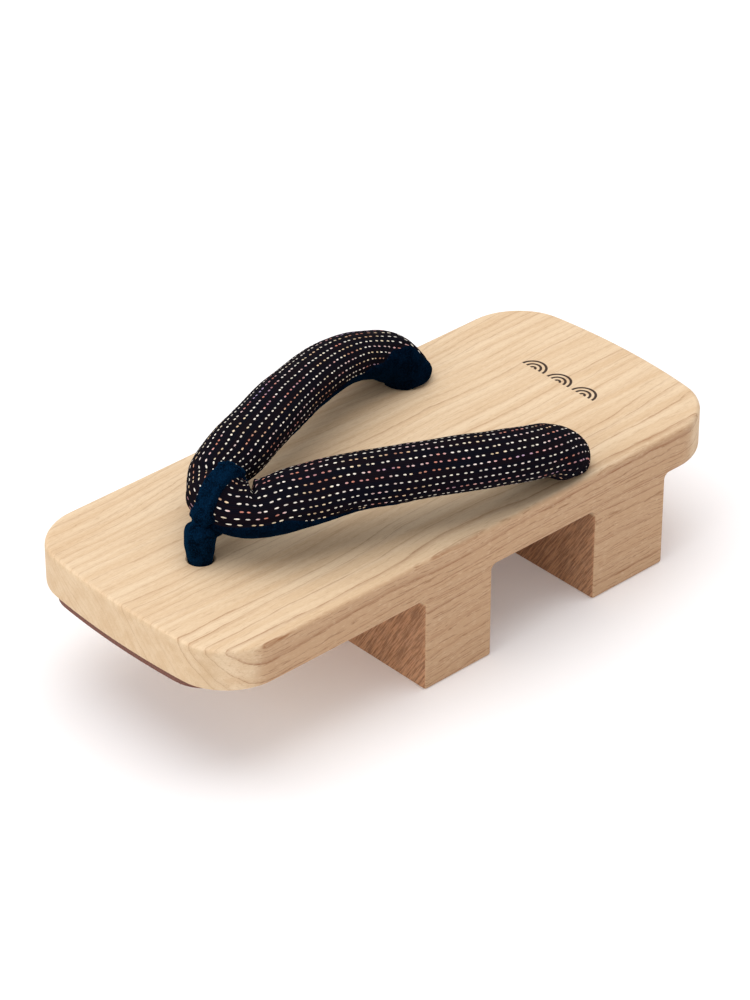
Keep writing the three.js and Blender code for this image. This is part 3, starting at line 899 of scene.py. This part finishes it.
def burnt_waves(n, x, y, z):
    """A row of three small wave fans, burnt into the heel."""
    across = n.math("MULTIPLY", x, 1000.0)
    up = n.math("SUBTRACT", n.math("MULTIPLY", y, 1000.0), WAVE_Y)
    inside = n.math("LESS_THAN", n.math("ABSOLUTE", across), WAVE_PITCH * 1.5)
    cell = n.math("FRACT", n.math("ADD", n.math("DIVIDE", across, WAVE_PITCH), 0.5))
    cell = n.math("SUBTRACT", n.math("MULTIPLY", cell, WAVE_PITCH), WAVE_PITCH / 2)
    radius = n.math("SQRT", n.math("ADD", n.math("MULTIPLY", cell, cell), n.math("MULTIPLY", up, up)))
    rings = n.math("FRACT", n.math("DIVIDE", radius, WAVE_STROKE_PITCH))
    stroke = n.step(n.math("ABSOLUTE", n.math("SUBTRACT", rings, 0.5)), 0.20, 0.29, 1.0, 0.0)
    fan = n.step(radius, WAVE_RADIUS, WAVE_RADIUS + 0.1, 1.0, 0.0)
    fan = n.math("MULTIPLY", fan, n.step(up, -0.15, 0.05))
    on_top = n.math("GREATER_THAN", z, (DECK_TOP - 0.5) * MM)
    return n.math("MULTIPLY", n.math("MULTIPLY", stroke, fan), n.math("MULTIPLY", inside, on_top))


def wood_material(rings):
    material, n, shader = material_start("paulownia wood")
    place = n.add("ShaderNodeTexCoord").outputs["Object"]
    x, y, z = n.split(place)
    grain = use_group(n, rings, Vector=place)
    normal = n.split(n.add("ShaderNodeNewGeometry").outputs["Normal"])
    across_grain = n.step(n.math("ABSOLUTE", normal[1]), 0.55, 0.85)
    below_deck = n.step(z, (DECK_BOTTOM - 1.5) * MM, (DECK_BOTTOM - 3) * MM)
    sawn_and_shaded = n.math("MULTIPLY", across_grain, below_deck)
    end_grain = n.math("MULTIPLY", across_grain, n.math("SUBTRACT", 1.0, below_deck))

    side_face = n.step(n.math("ABSOLUTE", x), (DECK_HALF_WIDTH - 1.6) * MM, (DECK_HALF_WIDTH + 0.1) * MM)
    base = n.mix(n.step(grain["Tone"], 0.30, 0.72), (0.75, 0.575, 0.385, 1), (0.66, 0.47, 0.29, 1))
    late = n.math("MULTIPLY", n.step(grain["Year"], 0.35, 1.0), 0.2)
    colour = n.mix(late, base, (0.60, 0.40, 0.23, 1))
    # the deck's side faces are painted darker and browner than the top: painted shade
    colour = n.mix(n.math("MULTIPLY", side_face, 0.85), colour, (0.53, 0.325, 0.185, 1))
    bold = n.step(x, -0.010, 0.045, 0.66, 0.88)
    bold = n.math("ADD", bold, n.math("MULTIPLY", side_face, 0.3), clamp=True)
    thin = n.math("MULTIPLY", grain["Thin Line"], n.math("ADD", 0.24, n.math("MULTIPLY", side_face, 0.7)))
    colour = n.mix(thin, colour, (0.33, 0.17, 0.08, 1))
    colour = n.mix(n.math("MULTIPLY", grain["Line"], bold), colour, (0.27, 0.10, 0.032, 1))
    colour = n.mix(n.math("MULTIPLY", grain["Pores"], 0.13), colour, (0.36, 0.20, 0.10, 1))
    flecks = n.noise(n.stretched(place, (2400, 420, 2400)), 1.0, 2.0, 0.6)
    colour = n.mix(n.step(flecks, 0.50, 0.72, 0.0, 0.2), colour, (0.47, 0.29, 0.16, 1))
    colour = n.mix(n.step(flecks, 0.46, 0.28, 0.0, 0.25), colour, (0.84, 0.67, 0.46, 1))

    # end grain is a little greyer, and the saw-cut faces of the teeth are redder and rough; their darkness
    # is partly the sawn wood and partly painted shade from lying under the deck
    colour = n.mix(n.math("MULTIPLY", end_grain, 0.35), colour, (0.50, 0.36, 0.21, 1))
    sawing = n.add("ShaderNodeMapping", {"vector_type": "POINT"}, Rotation=(0, math.radians(-32), 0))
    n.plug(sawing, "Vector", n.stretched(place, TO_MM))
    strokes = n.noise(n.stretched(sawing.outputs[0], (1.9, 0.6, 0.12)), 1.0, 3.0, 0.65)
    sawn_and_shaded_colour = n.mix(n.step(strokes, 0.36, 0.64), (0.21, 0.082, 0.036, 1), (0.52, 0.26, 0.135, 1))
    colour = n.mix(n.math("MULTIPLY", sawn_and_shaded, 0.85), colour, sawn_and_shaded_colour)

    burn = burnt_waves(n, x, y, z)
    colour = n.mix(n.math("MULTIPLY", burn, 0.97), colour, (0.022, 0.008, 0.004, 1))
    n.plug(shader, "Base Color", colour)
    rough = n.math("ADD", 0.58, n.math("MULTIPLY", grain["Tone"], 0.16))
    rough = n.math("ADD", rough, n.math("MULTIPLY", sawn_and_shaded, 0.15), clamp=True)
    n.plug(shader, "Roughness", rough)
    shader.inputs["Specular IOR Level"].default_value = 0.2

    dust = n.noise(n.stretched(place, TO_MM), 1.8, 3.0)
    height = n.math("SUBTRACT", n.math("MULTIPLY", dust, 0.25), n.math("MULTIPLY", grain["Line"], 0.5))
    height = n.math("SUBTRACT", height, n.math("MULTIPLY", grain["Pores"], 0.35))
    height = n.math("ADD", height, n.math("MULTIPLY", n.math("MULTIPLY", strokes, sawn_and_shaded), 2.6))
    height = n.math("SUBTRACT", height, n.math("MULTIPLY", burn, 1.6))
    relief = n.add("ShaderNodeBump", Strength=0.5, Distance=0.00025, Height=height)
    n.plug(shader, "Normal", relief.outputs[0])
    return material


def cloth_material(dashes):
    material, n, shader = material_start("dash-striped cloth")
    flat = n.add("ShaderNodeUVMap", {"uv_map": "cloth"}).outputs[0]
    thread = use_group(n, dashes, Vector=flat)
    mm = n.stretched(flat, TO_MM)
    along, across, _ = n.split(mm)

    # the ground: dark rows that lean to indigo or to aubergine, with fine ribs
    ribs = n.math("ABSOLUTE", n.math("SINE", n.math("MULTIPLY", across, math.pi / 0.72)))
    picks = n.math("SINE", n.math("MULTIPLY", along, 2 * math.pi / 0.62))
    lean = n.noise(n.join(n.math("MULTIPLY", along, 0.03), n.math("MULTIPLY", across, 0.55)), 1.0, 1.0)
    ground = n.mix(n.step(lean, 0.36, 0.64), (0.002, 0.0026, 0.0065, 1), (0.0055, 0.0028, 0.005, 1))
    ground = n.mix(n.math("MULTIPLY", ribs, 0.45), ground, (0.0075, 0.006, 0.0085, 1))

    ramp = n.add("ShaderNodeValToRGB")
    n.plug(ramp, "Fac", n.step(thread["Shade"], 0.24, 0.76))
    stops = (
        (0.00, (0.58, 0.24, 0.17)), (0.18, (0.84, 0.64, 0.40)), (0.32, (0.97, 0.90, 0.75)),
        (0.60, (0.96, 0.88, 0.80)), (0.74, (0.78, 0.46, 0.46)), (0.84, (0.72, 0.27, 0.18)),
        (1.00, (0.48, 0.38, 0.56)),
    )
    while len(ramp.color_ramp.elements) < len(stops):
        ramp.color_ramp.elements.new(0.5)
    for element, (place, tint) in zip(ramp.color_ramp.elements, stops):
        element.position = place
        element.color = (*tint, 1)
    bright = n.math("ADD", 0.6, n.math("MULTIPLY", n.white(thread["Row"], thread["Number"]), 0.4))
    colour = n.mix(n.math("MULTIPLY", thread["Dash"], bright), ground, ramp.outputs["Color"])
    n.plug(shader, "Base Color", colour)
    n.plug(shader, "Roughness", n.math("SUBTRACT", 0.86, n.math("MULTIPLY", thread["Dash"], 0.2)))
    shader.inputs["Specular IOR Level"].default_value = 0.02

    height = n.math("ADD", n.math("MULTIPLY", ribs, 0.7), n.math("MULTIPLY", picks, 0.22))
    height = n.math("ADD", height, n.math("MULTIPLY", thread["Dash"], 1.1))
    relief = n.add("ShaderNodeBump", Strength=0.7, Distance=0.0002, Height=height)
    n.plug(shader, "Normal", relief.outputs[0])
    return material


def velvet_material(name, pile, painted_light_level):
    """Short-piled velvet; the last argument sets how far its tufts and its sheen come up from the dark
    ground, and a low value is painted shade.
    """
    material, n, shader = material_start(name)
    place = n.add("ShaderNodeTexCoord").outputs["Object"]
    tufts = use_group(n, pile, Vector=place)
    lay = n.step(tufts["Lay"], 0.40, 0.62, 0.0, painted_light_level)
    colour = n.mix(lay, (0.0007, 0.0018, 0.005, 1), (0.0012, 0.0085, 0.024, 1))
    colour = n.mix(n.step(tufts["Tuft"], 0.46, 0.64, 0.0, 0.8 * painted_light_level), colour, (0.002, 0.021, 0.055, 1))
    n.plug(shader, "Base Color", colour)
    n.plug(shader, "Roughness", n.step(tufts["Tuft"], 0.2, 0.8, 0.82, 0.96))
    shader.inputs["Specular IOR Level"].default_value = 0.0
    shader.inputs["Sheen Weight"].default_value = 0.27 * painted_light_level
    shader.inputs["Sheen Roughness"].default_value = 0.24
    shader.inputs["Sheen Tint"].default_value = (0.01, 0.15, 0.36, 1)
    height = n.math("ADD", tufts["Tuft"], n.math("MULTIPLY", tufts["Lay"], 0.6))
    relief = n.add("ShaderNodeBump", Strength=0.8, Distance=0.0005, Height=height)
    n.plug(shader, "Normal", relief.outputs[0])
    return material


def rubber_material():
    material, n, shader = material_start("brown rubber")
    place = n.add("ShaderNodeTexCoord").outputs["Object"]
    speckle = n.noise(place, 1500.0, 3.0, 0.6)
    colour = n.mix(n.step(speckle, 0.35, 0.68), (0.115, 0.040, 0.026, 1), (0.19, 0.075, 0.05, 1))
    n.plug(shader, "Base Color", colour)
    n.plug(shader, "Roughness", n.step(speckle, 0.2, 0.8, 0.7, 0.9))
    relief = n.add("ShaderNodeBump", Strength=0.4, Distance=0.0002, Height=speckle)
    n.plug(shader, "Normal", relief.outputs[0])
    return material


def cord_material():
    material, n, shader = material_start("cotton cord")
    place = n.add("ShaderNodeTexCoord").outputs["Object"]
    fibre = n.noise(n.stretched(place, (1400, 2600, 2600)), 1.0, 3.0, 0.6)
    soil = n.noise(place, 120.0, 2.0)
    colour = n.mix(n.step(fibre, 0.35, 0.7), (0.42, 0.35, 0.25, 1), (0.62, 0.55, 0.43, 1))
    colour = n.mix(n.step(soil, 0.5, 0.8, 0.0, 0.35), colour, (0.33, 0.26, 0.18, 1))
    n.plug(shader, "Base Color", colour)
    n.plug(shader, "Roughness", n.step(fibre, 0.2, 0.8, 0.78, 0.95))
    shader.inputs["Sheen Weight"].default_value = 0.2
    relief = n.add("ShaderNodeBump", Strength=0.6, Distance=0.0002, Height=fibre)
    n.plug(shader, "Normal", relief.outputs[0])
    return material


def floor_material():
    material, _, shader = material_start("pale floor")
    shader.inputs["Base Color"].default_value = (0.90, 0.89, 0.895, 1)
    shader.inputs["Roughness"].default_value = 0.8
    shader.inputs["Emission Color"].default_value = (1.0, 0.93, 0.94, 1)
    shader.inputs["Emission Strength"].default_value = 0.10
    return material


# ------------------------------------------------------------ stage and camera


def make_stage():
    bm = bmesh.new()
    bmesh.ops.create_grid(bm, x_segments=1, y_segments=1, size=4.0)
    floor = mesh_object("floor", bm)
    floor.data.materials.append(floor_material())

    world = bpy.data.worlds.new("studio")
    world.use_nodes = True
    background = world.node_tree.nodes["Background"]
    background.inputs["Color"].default_value = (1.0, 0.99, 1.0, 1)
    background.inputs["Strength"].default_value = 0.6
    bpy.context.scene.world = world

    for name, place, size, power in LIGHTS:
        light = bpy.data.lights.new(name, "AREA")
        light.size = size
        light.energy = power
        lamp = new_object(name, light)
        lamp.location = place
        lamp.rotation_euler = (-Vector(place)).to_track_quat("-Z", "Y").to_euler()


def make_camera():
    camera = bpy.data.cameras.new("camera")
    camera.sensor_width = 36
    camera.lens = CAMERA_LENS
    camera.clip_end = 20
    holder = new_object("camera", camera)
    holder.location = CAMERA_PLACE
    aim = Vector(CAMERA_AIM) - holder.location
    holder.rotation_euler = aim.to_track_quat("-Z", "Y").to_euler()
    bpy.context.scene.camera = holder
    bpy.context.scene.view_settings.view_transform = "Standard"


make_camera()
make_stage()

pile = pile_group()
cord = cord_material()
strap_line = StrapLine()

make_base(wood_material(growth_rings_group()))
make_toe_pad(rubber_material())
strap = make_strap(strap_line, cloth_material(thread_dashes_group()))
# the lining lies under the strap, so it takes a darker copy of the velvet with less sheen: painted shade
make_lining(strap_line, velvet_material("navy velvet in painted shade", pile, 0.4), strap)
toe_loop = make_toe_loop(velvet_material("navy velvet", pile, 0.95))
make_toe_knot(cord)
make_heel_cord(cord)

bpy.context.view_layer.update()
